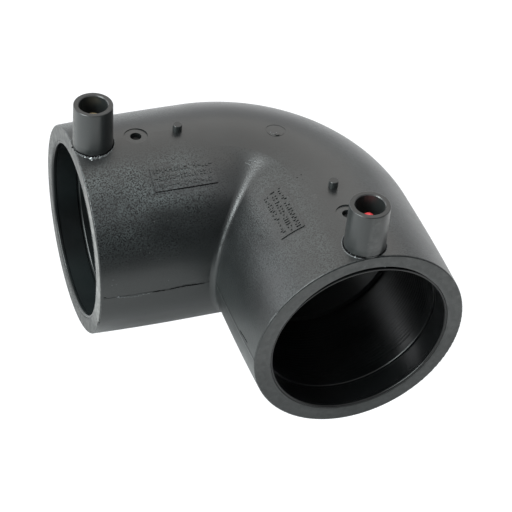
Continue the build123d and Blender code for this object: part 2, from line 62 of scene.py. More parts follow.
# ---------------------------------------------------------------------------
# node graphs
# ---------------------------------------------------------------------------
class Graph:
    def __init__(self, name):
        self.material = bpy.data.materials.new(name)
        self.material.use_nodes = True
        self.tree = self.material.node_tree
        self.tree.nodes.clear()
        self.out = self.node("ShaderNodeOutputMaterial")
        self.bsdf = self.node("ShaderNodeBsdfPrincipled")
        self.tree.links.new(self.bsdf.outputs["BSDF"], self.out.inputs["Surface"])
        self._place = None
        self._normal = None

    def node(self, kind, **settings):
        n = self.tree.nodes.new(kind)
        for key, value in settings.items():
            setattr(n, key, value)
        return n

    def feed(self, socket, value):
        if isinstance(value, bpy.types.NodeSocket):
            self.tree.links.new(value, socket)
        else:
            socket.default_value = value

    @property
    def place(self):
        if self._place is None:
            self._place = self.node("ShaderNodeTexCoord").outputs["Object"]
        return self._place

    @property
    def normal(self):
        if self._normal is None:
            self._normal = self.node("ShaderNodeNewGeometry").outputs["Normal"]
        return self._normal

    def split(self, vector):
        n = self.node("ShaderNodeSeparateXYZ")
        self.feed(n.inputs[0], vector)
        return n.outputs

    def join(self, x, y, z):
        n = self.node("ShaderNodeCombineXYZ")
        for i, v in enumerate((x, y, z)):
            self.feed(n.inputs[i], v)
        return n.outputs[0]

    def math(self, operation, a, b=None, c=None, clamp=False):
        n = self.node("ShaderNodeMath", operation=operation, use_clamp=clamp)
        for i, v in enumerate((a, b, c)):
            if v is not None:
                self.feed(n.inputs[i], v)
        return n.outputs[0]

    def scaled(self, vector, factors):
        n = self.node("ShaderNodeVectorMath", operation="MULTIPLY")
        self.feed(n.inputs[0], vector)
        n.inputs[1].default_value = factors
        return n.outputs[0]

    def added(self, a, b):
        n = self.node("ShaderNodeVectorMath", operation="ADD")
        self.feed(n.inputs[0], a)
        self.feed(n.inputs[1], b)
        return n.outputs[0]

    def noise(self, scale, detail=2.0, rough=0.5, vector=None, distortion=0.0):
        n = self.node("ShaderNodeTexNoise")
        self.feed(n.inputs["Vector"], self.place if vector is None else vector)
        n.inputs["Scale"].default_value = scale
        n.inputs["Detail"].default_value = detail
        n.inputs["Roughness"].default_value = rough
        n.inputs["Distortion"].default_value = distortion
        return n.outputs["Fac"]

    def cells(self, scale, feature="F1", vector=None, randomness=1.0):
        n = self.node("ShaderNodeTexVoronoi", feature=feature)
        self.feed(n.inputs["Vector"], self.place if vector is None else vector)
        n.inputs["Scale"].default_value = scale
        n.inputs["Randomness"].default_value = randomness
        return n.outputs["Distance"]

    def span(self, value, low, high, to_low=0.0, to_high=1.0, smooth=True):
        n = self.node("ShaderNodeMapRange")
        n.interpolation_type = "SMOOTHSTEP" if smooth else "LINEAR"
        n.clamp = True
        for i, v in enumerate((value, low, high, to_low, to_high)):
            self.feed(n.inputs[i], v)
        return n.outputs[0]

    def mix(self, factor, a, b):
        n = self.node("ShaderNodeMix", data_type="RGBA")
        self.feed(n.inputs["Factor"], factor)
        for socket, v in ((n.inputs[6], a), (n.inputs[7], b)):
            self.feed(socket, (*v, 1.0) if isinstance(v, tuple) and len(v) == 3 else v)
        return n.outputs[2]

    def blend(self, factor, a, b):
        """a + (b - a) * factor for plain numbers."""
        n = self.node("ShaderNodeMix", data_type="FLOAT")
        self.feed(n.inputs["Factor"], factor)
        self.feed(n.inputs[2], a)
        self.feed(n.inputs[3], b)
        return n.outputs[0]

    def bump(self, height, normal=None):
        """height is in metres."""
        n = self.node("ShaderNodeBump")
        n.inputs["Strength"].default_value = 1.0
        n.inputs["Distance"].default_value = 1.0
        self.feed(n.inputs["Height"], height)
        if normal is not None:
            self.feed(n.inputs["Normal"], normal)
        return n.outputs["Normal"]

    def finish(self, colour, roughness, normal=None, metallic=0.0, ior=1.5):
        b = self.bsdf.inputs
        self.feed(b["Base Color"], (*colour, 1.0) if isinstance(colour, tuple) else colour)
        self.feed(b["Roughness"], roughness)
        b["Metallic"].default_value = metallic
        b["IOR"].default_value = ior
        if normal is not None:
            self.feed(b["Normal"], normal)
        return self.material


# ---------------------------------------------------------------------------
# materials
# ---------------------------------------------------------------------------
def panel_masks(g, x, y, z, leg):
    """Side walls of one leg's panel and of its marks, and the panel's whole area."""
    along, across = (x, y) if leg == 0 else (y, x)
    depth = g.math("SUBTRACT", along, CROSS - Z_LEN)
    side = g.math("SUBTRACT", across, CROSS)
    up = g.math("SUBTRACT", z, AXIS_Z)
    r = g.math("SQRT", g.math("ADD", g.math("MULTIPLY", side, side), g.math("MULTIPLY", up, up)))
    short = g.math("MAXIMUM", g.math("SUBTRACT", BARREL, depth), 0.0)
    skin_r = g.math("SUBTRACT", R_BODY, g.math("DIVIDE", g.math("MULTIPLY", short, short), 2 * BARREL_ARC))
    rise = g.math("SUBTRACT", r, skin_r)
    edge = g.math("MULTIPLY", g.span(rise, 0.02 * MM, 0.05 * MM), g.span(rise, 0.30 * MM, 0.27 * MM))
    marks = g.math("MULTIPLY", g.span(rise, 0.35 * MM, 0.39 * MM), g.span(rise, 0.61 * MM, 0.57 * MM))
    zone = g.math("MULTIPLY", g.span(depth, 22.6 * MM, 23.2 * MM), g.span(depth, 48.2 * MM, 47.6 * MM))
    zone = g.math("MULTIPLY", zone, g.math("MULTIPLY", g.span(side, -13.6 * MM, -14.4 * MM), g.span(side, -25.2 * MM, -24.4 * MM)))
    zone = g.math("MULTIPLY", zone, g.span(up, 22.0 * MM, 24.0 * MM))
    return g.math("MULTIPLY", g.math("MAXIMUM", edge, marks), zone), zone


def body_plastic():
    """Charcoal polyethylene: eroded grain on the flanks, smoother on top and below the parting line."""
    g = Graph("body_polyethylene")
    x, y, z = g.split(g.place)
    nx, ny, nz = g.split(g.normal)
    up = g.span(nz, 0.62, 0.95)
    low = g.span(z, 39.0 * MM, 31.0 * MM)
    flank = g.math("MULTIPLY", g.math("SUBTRACT", 1.0, up), g.math("SUBTRACT", 1.0, low))
    # the mouth faces and the shrouds have only a trace of grain
    face_a = g.math("MULTIPLY", g.span(nx, -0.93, -0.99), g.span(x, -59.9 * MM, -60.6 * MM))
    face_b = g.math("MULTIPLY", g.span(ny, -0.93, -0.99), g.span(y, -59.9 * MM, -60.6 * MM))
    tower = g.span(z, 78.6 * MM, 79.8 * MM)
    smooth_part = g.math("MAXIMUM", g.math("MAXIMUM", face_a, face_b), tower)
    # leg A: deep grain on the upper flank, none near the parting line; leg B: a light grain all over
    shoulder = g.math("MULTIPLY", g.span(nz, 0.24, 0.50), g.span(nz, 0.985, 0.90))
    leg_b = g.span(g.math("SUBTRACT", x, y), -2.0 * MM, 14.0 * MM)
    even = g.math("MULTIPLY", g.span(nz, -0.30, 0.10), g.span(nz, 0.99, 0.93, 0.30, 1.0))
    amount = g.blend(leg_b, g.blend(shoulder, 0.12, 1.0), g.math("MULTIPLY", even, 0.40))
    amount = g.math("MULTIPLY", amount, g.math("SUBTRACT", 1.0, low))
    amount = g.math("MULTIPLY", amount, g.blend(smooth_part, 1.0, 0.20))
    wall_a, zone_a = panel_masks(g, x, y, z, 0)
    wall_b, zone_b = panel_masks(g, x, y, z, 1)
    amount = g.math("MULTIPLY", amount, g.math("MULTIPLY_ADD", g.math("MAXIMUM", zone_a, zone_b), -0.35, 1.0))
    # it dies away towards the bend
    amount = g.math("MULTIPLY", amount, g.blend(leg_b, g.span(x, -8.0 * MM, -22.0 * MM, 0.25, 1.0), 1.0))
    patchy = g.span(g.noise(85.0, 3.0, 0.55), 0.32, 0.66)
    grain = g.math("MULTIPLY", amount, g.blend(patchy, 0.50, 1.0))

    # the grain itself: fine pits between paler ridges, in loose clusters
    pits = g.span(g.cells(1500.0), 0.10, 0.52, smooth=False)
    beads = g.span(g.noise(1900.0, 0.0, 0.5), 0.30, 0.70, smooth=False)
    relief = g.math("MULTIPLY_ADD", pits, 0.50, g.math("MULTIPLY", beads, 0.50))
    grain_height = g.math("MULTIPLY", relief, g.blend(grain, 0.006 * MM, 0.085 * MM))

    # slow waves of the moulded surface and short flow streaks along the legs
    waves = g.math("MULTIPLY", g.noise(38.0, 1.5, 0.4), 0.14 * MM)
    streaks = g.noise(420.0, 2.0, 0.5, vector=g.scaled(g.place, (1.0, 1.0, 0.22)))
    streak_height = g.math("MULTIPLY", streaks, 0.010 * MM)
    height = g.math("ADD", g.math("ADD", grain_height, waves), streak_height)
    faces = g.math("MAXIMUM", face_a, face_b)
    sx = g.math("SUBTRACT", x, CROSS)
    sy = g.math("SUBTRACT", y, CROSS)
    sz = g.math("SUBTRACT", z, AXIS_Z)
    side = g.blend(face_b, sy, sx)
    hole_r = g.math("SQRT", g.math("ADD", g.math("MULTIPLY", side, side), g.math("MULTIPLY", sz, sz)))
    roll = g.span(hole_r, 34.5 * MM, 33.0 * MM, smooth=False)
    roll = g.math("MULTIPLY", g.math("MULTIPLY", roll, roll), -0.17 * MM)
    height = g.math("ADD", height, g.math("MULTIPLY", roll, faces))

    # colour: charcoal with a few pale specks; the ridges of the grain are paler, partly painted light that grows where
    # the flank faces up
    mottle = g.span(g.noise(55.0, 3.0, 0.6), 0.3, 0.7)
    base = g.mix(mottle, (0.0054, 0.0060, 0.0063), (0.0084, 0.0092, 0.0096))
    crest = g.span(relief, 0.52, 0.92, smooth=False)
    ridges = g.math("MULTIPLY", crest, grain)
    # painted light: the ridges are paler where the flank faces up
    ridges = g.math("MULTIPLY", ridges, g.span(nz, 0.42, 0.80, 0.28, 0.80))
    ridges = g.math("MULTIPLY", ridges, g.blend(leg_b, g.span(x, -12.0 * MM, -32.0 * MM, 0.20, 1.0), 1.0))
    # leg A's flank towards the bend has a band of painted shade: its grain ridges are painted darker and it reflects
    # less
    painted_shade_band = g.math("MULTIPLY", g.span(nz, 0.34, 0.52), g.span(nz, 0.77, 0.64))
    painted_shade_band = g.math("MULTIPLY", painted_shade_band, g.span(x, -47.0 * MM, -34.0 * MM))
    painted_shade_band = g.math("MULTIPLY", painted_shade_band, g.math("SUBTRACT", 1.0, leg_b))
    ridges = g.math("MULTIPLY", ridges, g.math("MULTIPLY_ADD", painted_shade_band, -0.70, 1.0))
    # painted light: the grain ridges are painted paler on the shoulder of leg A towards the bend
    deep = g.math("MULTIPLY", g.span(nz, 0.74, 0.84), g.span(x, -40.0 * MM, -30.0 * MM))
    deep = g.math("MULTIPLY", deep, g.math("SUBTRACT", 1.0, leg_b))
    ridges = g.math("MULTIPLY", ridges, g.math("MULTIPLY_ADD", deep, 0.40, 1.0))
    base = g.mix(ridges, base, (0.058, 0.070, 0.070))
    # the lower flanks are painted a little paler, a painted reflection of the pale floor
    base = g.mix(g.math("MULTIPLY", g.span(nz, 0.50, 0.10), 0.80), base, (0.0190, 0.0215, 0.0215))
    speck = g.math("MULTIPLY", g.span(g.cells(520.0), 0.16, 0.08), g.span(g.noise(120.0, 1.0), 0.60, 0.70))
    base = g.mix(g.math("MULTIPLY", speck, g.blend(flank, 0.10, 0.30)), base, (0.15, 0.155, 0.155))
    rough = g.blend(grain, 0.31, 0.38)
    rough = g.math("MULTIPLY_ADD", g.noise(210.0, 3.0, 0.6), 0.08, g.math("SUBTRACT", rough, 0.04))
    # painted shade: the underside reflects less, standing for the shadowed floor close under the elbow
    underside_shade = g.span(g.math("MULTIPLY_ADD", nz, 20.0 * MM, z), 44.0 * MM, 26.0 * MM)
    shine = g.blend(underside_shade, 0.50, 0.36)
    pit_shade = g.math("MULTIPLY", g.math("SUBTRACT", 1.0, g.span(relief, 0.18, 0.55, smooth=False)), grain)
    shine = g.math("MULTIPLY", shine, g.math("MULTIPLY_ADD", pit_shade, -0.85, 1.0))
    # painted light: the sides of the shrouds reflect more strongly and the tops of their rims less
    shroud = g.span(z, 80.6 * MM, 81.8 * MM)
    rim = g.math("MULTIPLY", shroud, g.span(nz, 0.80, 0.95))
    shine = g.math("MULTIPLY", shine, g.math("MULTIPLY_ADD", g.math("SUBTRACT", shroud, g.math("MULTIPLY", rim, 1.9)), 0.30, 1.0))
    # the same band of painted shade also weakens the reflection
    shine = g.math("MULTIPLY", shine, g.math("MULTIPLY_ADD", painted_shade_band, -0.55, 1.0))
    # painted highlight: the shoulder of leg A reflects more towards the bend
    above = g.math("MULTIPLY", g.span(nz, 0.73, 0.80), g.span(nz, 0.94, 0.83))
    above = g.math("MULTIPLY", above, g.span(x, -44.0 * MM, -22.0 * MM))
    above = g.math("MULTIPLY", above, g.span(x, -8.0 * MM, -19.0 * MM))
    above = g.math("MULTIPLY", above, g.math("SUBTRACT", 1.0, leg_b))
    shine = g.math("MULTIPLY", shine, g.math("MULTIPLY_ADD", above, 0.55, 1.0))
    # sawn mouth faces: a little dusty and scuffed
    dust = g.span(g.noise(420.0, 5.0, 0.68), 0.38, 0.74)
    base = g.mix(g.math("MULTIPLY", g.blend(face_b, face_a, 0.12), g.math("MULTIPLY", dust, 0.42)), base, (0.060, 0.057, 0.050))
    # painted highlight: the near side of face A is painted paler, broken up by the dust noise
    painted_highlight_a = g.math("MULTIPLY", face_a, g.span(y, 13.0 * MM, -6.0 * MM))
    painted_highlight_a = g.math("MULTIPLY", painted_highlight_a, g.span(z, 15.0 * MM, 32.0 * MM))
    base = g.mix(g.math("MULTIPLY", painted_highlight_a, g.blend(dust, 0.45, 0.90)), base, (0.155, 0.155, 0.150))
    shine = g.math("MULTIPLY", shine, g.blend(face_a, 1.0, g.blend(dust, 0.70, 0.95)))
    # face B was turned: faint rings and a cloudy sheen
    cloud = g.span(g.noise(330.0, 4.0, 0.66), 0.34, 0.66)
    turned = g.math("SINE", g.math("MULTIPLY_ADD", hole_r, 2400.0, g.math("MULTIPLY", cloud, 5.0)))
    sheen = g.math("MULTIPLY_ADD", turned, 0.07, g.blend(cloud, 1.14, 1.56))
    shine = g.math("MULTIPLY", shine, g.blend(face_b, 1.0, sheen))
    # the low walls of the raised marks sit in their own shadow
    wall = g.math("MAXIMUM", wall_a, wall_b)
    base = g.mix(wall, base, (0.0012, 0.0013, 0.0014))
    shine = g.math("MULTIPLY", shine, g.math("MULTIPLY_ADD", wall, -0.88, 1.0))
    g.feed(g.bsdf.inputs["Specular IOR Level"], shine)
    rough = g.blend(g.math("MULTIPLY", face_a, 0.8), rough, g.blend(dust, 0.50, 0.38))
    return g.finish(base, rough, g.bump(height))


def sleeve_plastic():
    """Smooth moulded sleeve with faint turned rings."""
    g = Graph("sleeve_polyethylene")
    fine = g.math("MULTIPLY", g.noise(900.0, 2.0, 0.5), 0.010 * MM)
    slow = g.math("MULTIPLY", g.noise(60.0, 2.0, 0.5), 0.10 * MM)
    height = g.math("ADD", fine, slow)
    x, y, z = g.split(g.place)
    painted_light_bore_a = g.span(g.math("SUBTRACT", y, x), 4.0 * MM, 30.0 * MM)
    base = g.mix(g.span(g.noise(80.0, 3.0), 0.3, 0.7), (0.0022, 0.0025, 0.0027), (0.0042, 0.0046, 0.0048))
    # painted light: the sleeve of leg A is painted paler in patches
    base = g.mix(g.math("MULTIPLY", painted_light_bore_a, g.span(g.noise(34.0, 2.0), 0.25, 0.75)), base, (0.0085, 0.0115, 0.0120))
    rough = g.math("MULTIPLY_ADD", g.noise(160.0, 2.0), 0.10, 0.25)
    g.bsdf.inputs["Specular IOR Level"].default_value = 0.38
    return g.finish(base, rough, g.bump(height))


def torn_and_shade_plastic(name, dark, pale, roughness, shine=0.5):
    """Torn or scuffed edges of the same plastic, paler where it is stretched; also the near-black plastic laid as
    painted shade.
    """
    g = Graph(name)
    g.bsdf.inputs["Specular IOR Level"].default_value = shine
    cloud = g.span(g.noise(2300.0, 2.0, 0.6), 0.30, 0.70)
    base = g.mix(cloud, dark, pale)
    rough = g.math("MULTIPLY_ADD", cloud, 0.12, roughness)
    return g.finish(base, rough, g.bump(g.math("MULTIPLY", cloud, 0.03 * MM)))


def wire_metal():
    g = Graph("resistance_wire")
    drawn = g.noise(2500.0, 2.0, 0.5, vector=g.scaled(g.place, (1.0, 0.2, 0.2)))
    base = g.mix(drawn, (0.52, 0.26, 0.15), (0.70, 0.40, 0.26))
    rough = g.math("MULTIPLY_ADD", drawn, 0.15, 0.25)
    return g.finish(base, rough, g.bump(g.math("MULTIPLY", drawn, 0.004 * MM)), metallic=1.0)


def brass_metal():
    g = Graph("dulled_brass")
    x, y, z = g.split(g.place)
    turned = g.noise(6000.0, 2.0, 0.5, vector=g.join(0.0, 0.0, z))
    stain = g.span(g.noise(700.0, 3.0, 0.6), 0.35, 0.7)
    base = g.mix(stain, (0.80, 0.66, 0.40), (0.48, 0.36, 0.20))
    rough = g.math("MULTIPLY_ADD", stain, 0.18, 0.26)
    height = g.math("MULTIPLY", turned, 0.006 * MM)
    return g.finish(base, rough, g.bump(height), metallic=1.0)


def red_core():
    g = Graph("red_moulding")
    cloud = g.noise(900.0, 3.0, 0.6)
    base = g.mix(g.span(cloud, 0.35, 0.65), (0.62, 0.055, 0.062), (0.45, 0.028, 0.035))
    rough = g.math("MULTIPLY_ADD", cloud, 0.15, 0.30)
    return g.finish(base, rough, g.bump(g.math("MULTIPLY", cloud, 0.02 * MM)))


def indicator_plastic():
    g = Graph("indicator_polyethylene")
    cloud = g.noise(1500.0, 3.0, 0.6)
    base = g.mix(cloud, (0.004, 0.004, 0.0045), (0.008, 0.008, 0.0085))
    rough = g.math("MULTIPLY_ADD", cloud, 0.2, 0.45)
    g.bsdf.inputs["Specular IOR Level"].default_value = 0.12
    return g.finish(base, rough, g.bump(g.math("MULTIPLY", cloud, 0.02 * MM)))


def floor_paint():
    """A lit white table, bright enough to swallow the soft shadows."""
    g = Graph("white_table")
    cloud = g.noise(3.0, 2.0, 0.5)
    base = g.mix(cloud, (0.085, 0.085, 0.085), (0.095, 0.095, 0.095))
    m = g.finish(base, 0.8)
    g.bsdf.inputs["Emission Color"].default_value = (0.97, 0.985, 1.0, 1.0)
    g.bsdf.inputs["Emission Strength"].default_value = 1.05
    return m


def near_paper():
    """Paper under the elbow, which takes its contact shadows; only reflections see it."""
    g = Graph("grey_paper")
    cloud = g.noise(14.0, 2.0, 0.5)
    base = g.mix(cloud, (0.48, 0.48, 0.48), (0.52, 0.52, 0.52))
    m = g.finish(base, 0.9)
    g.bsdf.inputs["Emission Color"].default_value = (0.97, 0.985, 1.0, 1.0)
    g.bsdf.inputs["Emission Strength"].default_value = 0.22
    return m


def flag_cloth():
    """Black cloth of a studio flag."""
    g = Graph("black_flag")
    weave = g.noise(900.0, 2.0, 0.5)
    base = g.mix(weave, (0.004, 0.004, 0.004), (0.010, 0.010, 0.010))
    return g.finish(base, 0.9)


BODY = body_plastic()
SLEEVE = sleeve_plastic()
WIRE = wire_metal()
BRASS = brass_metal()
RED = red_core()
FLASH = torn_and_shade_plastic("flash_polyethylene", (0.012, 0.013, 0.0135), (0.085, 0.092, 0.095), 0.34)
WHITENED = torn_and_shade_plastic("whitened_polyethylene", (0.30, 0.32, 0.33), (0.78, 0.81, 0.82), 0.45)
SCUFFED = torn_and_shade_plastic("scuffed_polyethylene", (0.030, 0.033, 0.034), (0.17, 0.18, 0.19), 0.36)
# near-black plastic for dark joint dots, and for painted shade in crevices, along seams and along a panel edge
DARK_AND_SHADE = torn_and_shade_plastic("dark_polyethylene", (0.002, 0.002, 0.002), (0.006, 0.006, 0.0065), 0.55, 0.06)
INDICATOR = indicator_plastic()

for name, material in (
    ("elbow_body", BODY),
    ("winding_sleeve_a", SLEEVE),
    ("winding_sleeve_b", SLEEVE),
    ("heating_coil_a", WIRE),
    ("heating_coil_b", WIRE),
    ("coil_link_wire", WIRE),
    ("terminal_pin_a", BRASS),
    ("terminal_pin_b", BRASS),
    ("pin_core_b", RED),
    ("fusion_indicator_a", INDICATOR),
    ("fusion_indicator_b", INDICATOR),
):
    mesh = nodes[name].data
    mesh.materials.clear()
    mesh.materials.append(material)


# ---------------------------------------------------------------------------
# floor, light and camera
# ---------------------------------------------------------------------------
def add_mesh(name, verts, faces, material, smooth=True, body="root"):
    mesh = bpy.data.meshes.new(name)
    mesh.from_pydata([tuple(v) for v in verts], [], [tuple(f) for f in faces])
    mesh.validate()
    mesh.update()
    if smooth:
        mesh.shade_smooth()
    mesh.materials.append(material)
    o = bpy.data.objects.new(name, mesh)
    bpy.context.scene.collection.objects.link(o)
    if body:
        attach(o, body)
    return o


CAM_AT = Vector((-0.18018, -0.44866, 0.46155))
CAM_RIGHT = Vector((0.94420563, -0.32222998, 0.06814374))
CAM_UP = Vector((0.16693208, 0.64656439, 0.74437099))
CAM_FORWARD = Vector((0.28391797, 0.6914639, -0.66428025))
FOCAL = 1732.22

body_mesh = nodes["elbow_body"].data
skin = BVHTree.FromPolygons([v.co.copy() for v in body_mesh.vertices], [tuple(q.vertices) for q in body_mesh.polygons])


def spot(u, v):
    """Place and outward normal on the body at a point of the 512 x 512 picture."""
    d = CAM_FORWARD + CAM_RIGHT * ((u - 256) / FOCAL) + CAM_UP * ((256 - v) / FOCAL)
    place, normal, index, distance = skin.ray_cast(CAM_AT, d.normalized())
    return place, normal


def helix_ribs(name, leg, start, end, pitch, radius, height, seed):
    """The fine ribs that the winding leaves in the bore of a sleeve."""
    rng = random.Random(seed)
    per_turn = 96
    steps = int((end - start) / pitch * per_turn)
    phases = [rng.uniform(0, 6.28) for _ in range(3)]
    section = ((-0.40, 0.0), (-0.20, 0.85), (0.0, 1.0), (0.20, 0.85), (0.40, 0.0))
    verts, faces = [], []
    for i in range(steps + 1):
        t = 2 * math.pi * i / per_turn
        fade = min(1.0, i / 60, (steps - i) / 60)
        wave = 0.75 + 0.15 * math.sin(2 * t + phases[0]) + 0.10 * math.sin(0.31 * t + phases[1])
        h = height * wave * fade
        d = start + pitch * t / (2 * math.pi)
        for off, rise in section:
            r = radius + 0.03 * MM - (h + 0.03 * MM) * rise
            verts.append(leg @ Vector((d + off * MM, r * math.sin(t), r * math.cos(t))))
    n = len(section)
    for i in range(steps):
        for k in range(n - 1):
            a0 = i * n + k
            faces.append((a0, a0 + 1, a0 + n + 1, a0 + n))
    return add_mesh(name, verts, faces, SLEEVE)


def foot_flash(name, leg, seed, spikes, base_h, spike_h, reach, material):
    """Ragged lip that the tool leaves round the foot of a shroud."""
    rng = random.Random(seed)
    n = 300
    noise = [rng.uniform(0, 1) ** 2.2 for _ in range(n)]
    slow = [rng.uniform(0, 1) for _ in range(24)]
    verts, faces = [], []
    for i in range(n):
        t = 2 * math.pi * i / n
        c, q = math.cos(t), math.sin(t)
        s0 = slow[(i * 24 // n) % 24]
        s1 = slow[(i * 24 // n + 1) % 24]
        f = (i * 24 / n) % 1.0
        lump = s0 + (s1 - s0) * f
        live = spikes(t)
        h = (base_h * (0.5 + lump) + spike_h * noise[i] * live) * MM
        out = (reach * (0.3 + 0.7 * noise[(i * 7) % n]) * (0.4 + live)) * MM
        for r, rise in ((7.30 * MM, None), (7.62 * MM, h), (7.72 * MM + out * 0.4, 0.6 * h), (7.80 * MM + out, -0.05 * MM)):
            d = 7.35 * MM + r * c
            y = r * q
            if d < 0.5 * MM:
                d, rise = 0.5 * MM, -0.25 * MM if rise is not None else None
            z = math.sqrt(leg_radius(d) ** 2 - y * y)
            verts.append(leg @ Vector((d, y, z + (-0.30 * MM if rise is None else rise))))
    for i in range(n):
        j = (i + 1) % n
        for k in range(3):
            faces.append((4 * i + k, 4 * i + k + 1, 4 * j + k + 1, 4 * j + k))
    return add_mesh(name, verts, faces, material, smooth=False)


def foot_shade(name, leg, seed, weight):
    """A dark strip of painted shade in the crevice where the shroud meets the leg, laid on the skin of its fillet."""
    rng = random.Random(seed)
    n = 360
    rough_a = [rng.uniform(0, 1) for _ in range(n)]
    rough_b = [rng.uniform(0, 1) for _ in range(40)]
    verts, faces = [], []
    path = ((7.05, 0.95), (7.12, 0.62), (7.30, 0.34), (7.55, 0.14), (7.85, 0.03))
    for i in range(n):
        t = 2 * math.pi * i / n
        w = weight(t) * (0.45 + 0.75 * rough_b[(i * 40 // n) % 40]) * (0.6 + 0.7 * rough_a[i])
        for k, (r, h) in enumerate(path):
            spread = (k - 2) / 2.0 * w
            r1 = 7.32 + (r - 7.32) * abs(spread)
            h1 = 0.32 + (h - 0.32) * abs(spread)
            d = max(0.4 * MM, 7.35 * MM + r1 * MM * math.cos(t))
            side = r1 * MM * math.sin(t)
            at = leg @ Vector((d, side, math.sqrt(leg_radius(d) ** 2 - side * side) + h1 * MM))
            place, normal, index, distance = skin.find_nearest(at)
            lift = 0.07 * MM if 0 < k < 4 else -0.03 * MM
            verts.append(place + normal * lift)
    for i in range(n):
        j = (i + 1) % n
        for k in range(4):
            faces.append((5 * i + k, 5 * i + k + 1, 5 * j + k + 1, 5 * j + k))
    return add_mesh(name, verts, faces, DARK_AND_SHADE)


def seam_cover(name, leg, side, start, end, width, height, seed):
    """A soft low swelling over the parting ridge, along one side of a leg."""
    rng = random.Random(seed)
    n = 80
    lumps = [rng.uniform(0.80, 1.15) for _ in range(n + 1)]
    verts, faces = [], []
    section = ((-1.0, -0.25), (-0.72, 0.18), (-0.4, 0.62), (-0.12, 0.95), (0.12, 0.95), (0.4, 0.62), (0.72, 0.18), (1.0, -0.25))
    for i in range(n + 1):
        d = start + (end - start) * i / n
        for off, rise in section:
            a = off * width / R_BODY
            r = leg_radius(d) + height * rise * (lumps[i] if rise > 0 else 1.0)
            verts.append(leg @ Vector((d, side * r * math.cos(a), r * math.sin(a))))
    m = len(section)
    for i in range(n):
        for k in range(m - 1):
            a0 = i * m + k
            faces.append((a0, a0 + 1, a0 + m + 1, a0 + m))
    return add_mesh(name, verts, faces, BODY)


def chips(name, spots, material, seed):
    """Small irregular bits that sit on the skin: (u, v, length, width, height, turn) in pixels, mm and degrees."""
    rng = random.Random(seed)
    verts, faces = [], []
    for u, v, length, width, height, turn in spots:
        place, normal = spot(u, v)
        if place is None:
            continue
        across = normal.cross(CAM_UP).normalized()
        along = normal.cross(across).normalized()
        a = math.radians(turn)
        e1 = across * math.cos(a) + along * math.sin(a)
        e2 = normal.cross(e1)
        first = len(verts)
        rings = ((1.0, -0.45), (0.92, 0.25), (0.55, 0.85))
        m = 7
        for scale, lift in rings:
            for k in range(m):
                t = 2 * math.pi * k / m + rng.uniform(-0.25, 0.25)
                w = scale * rng.uniform(0.72, 1.15)
                verts.append(
                    place
                    + e1 * (0.5 * length * MM * w * math.cos(t))
                    + e2 * (0.5 * width * MM * w * math.sin(t))
                    + normal * (height * MM * lift * rng.uniform(0.8, 1.1))
                )
        verts.append(place + normal * height * MM)
        for ring in range(2):
            for k in range(m):
                a0 = first + ring * m + k
                a1 = first + ring * m + (k + 1) % m
                faces.append((a0, a1, a1 + m, a0 + m))
        for k in range(m):
            faces.append((first + 2 * m + k, first + 2 * m + (k + 1) % m, first + 3 * m))
    return add_mesh(name, verts, faces, material, smooth=False)


def ridge(name, line, width, height, material, seed, rough_edge=0.35):
    """A thin raised line on the skin through points of the picture."""
    rng = random.Random(seed)
    pts = []
    for (u0, v0), (u1, v1) in zip(line, line[1:]):
        k = max(2, int(math.hypot(u1 - u0, v1 - v0) / 0.6))
        pts += [(u0 + (u1 - u0) * i / k, v0 + (v1 - v0) * i / k) for i in range(k)]
    pts.append(line[-1])
    places = [spot(u, v) for u, v in pts]
    places = [q for q in places if q[0] is not None]
    verts, faces = [], []
    n = len(places)
    for i, (place, normal) in enumerate(places):
        ahead = places[min(i + 1, n - 1)][0] - places[max(i - 1, 0)][0]
        ahead.normalize()
        side = normal.cross(ahead).normalized()
        fade = min(1.0, i / 3, (n - 1 - i) / 3)
        h = height * MM * fade * rng.uniform(1 - rough_edge, 1 + rough_edge)
        w = width * MM * (0.35 + 0.65 * fade) * rng.uniform(1 - 0.5 * rough_edge, 1 + 0.5 * rough_edge)
        wander = width * MM * 0.18 * rng.uniform(-1, 1)
        for off, rise in ((-0.5, None), (-0.22, 0.8), (0.0, 1.0), (0.24, 0.7), (0.5, None)):
            lift = -0.04 * MM if rise is None else h * rise
            verts.append(place + side * (off * w + wander) + normal * lift)
    for i in range(n - 1):
        for k in range(4):
            a0 = i * 5 + k
            faces.append((a0, a0 + 1, a0 + 6, a0 + 5))
    return add_mesh(name, verts, faces, material)


helix_ribs("bore_ribs_a", LEG_A, 13.2 * MM, 41.0 * MM, 1.4 * MM, PIPE_R, 0.09 * MM, 11)
helix_ribs("bore_ribs_b", LEG_B, 13.2 * MM, 41.0 * MM, 1.4 * MM, PIPE_R, 0.09 * MM, 12)


def near(t, centre, spread):
    """1 near an angle, in degrees, falling to 0 away from it."""
    gap = abs((math.degrees(t) - centre + 180) % 360 - 180)
    return max(0.0, 1 - gap / spread)


foot_flash("foot_flash_a", LEG_A, 21, lambda t: 0.25 + near(t, -105, 75), 0.10, 0.55, 0.45, FLASH)
foot_flash("foot_flash_b", LEG_B, 22, lambda t: 0.12 + 0.7 * near(t, 115, 45) + 0.3 * near(t, -120, 40), 0.07, 0.32, 0.30, FLASH)

# painted shade in the crevice round the foot of each shroud
foot_shade("foot_gap_a", LEG_A, 23, lambda t: 0.30 + 0.70 * near(t, -75, 110))
foot_shade("foot_gap_b", LEG_B, 24, lambda t: 0.25 + 0.50 * near(t, 115, 60) + 0.35 * near(t, -150, 60))

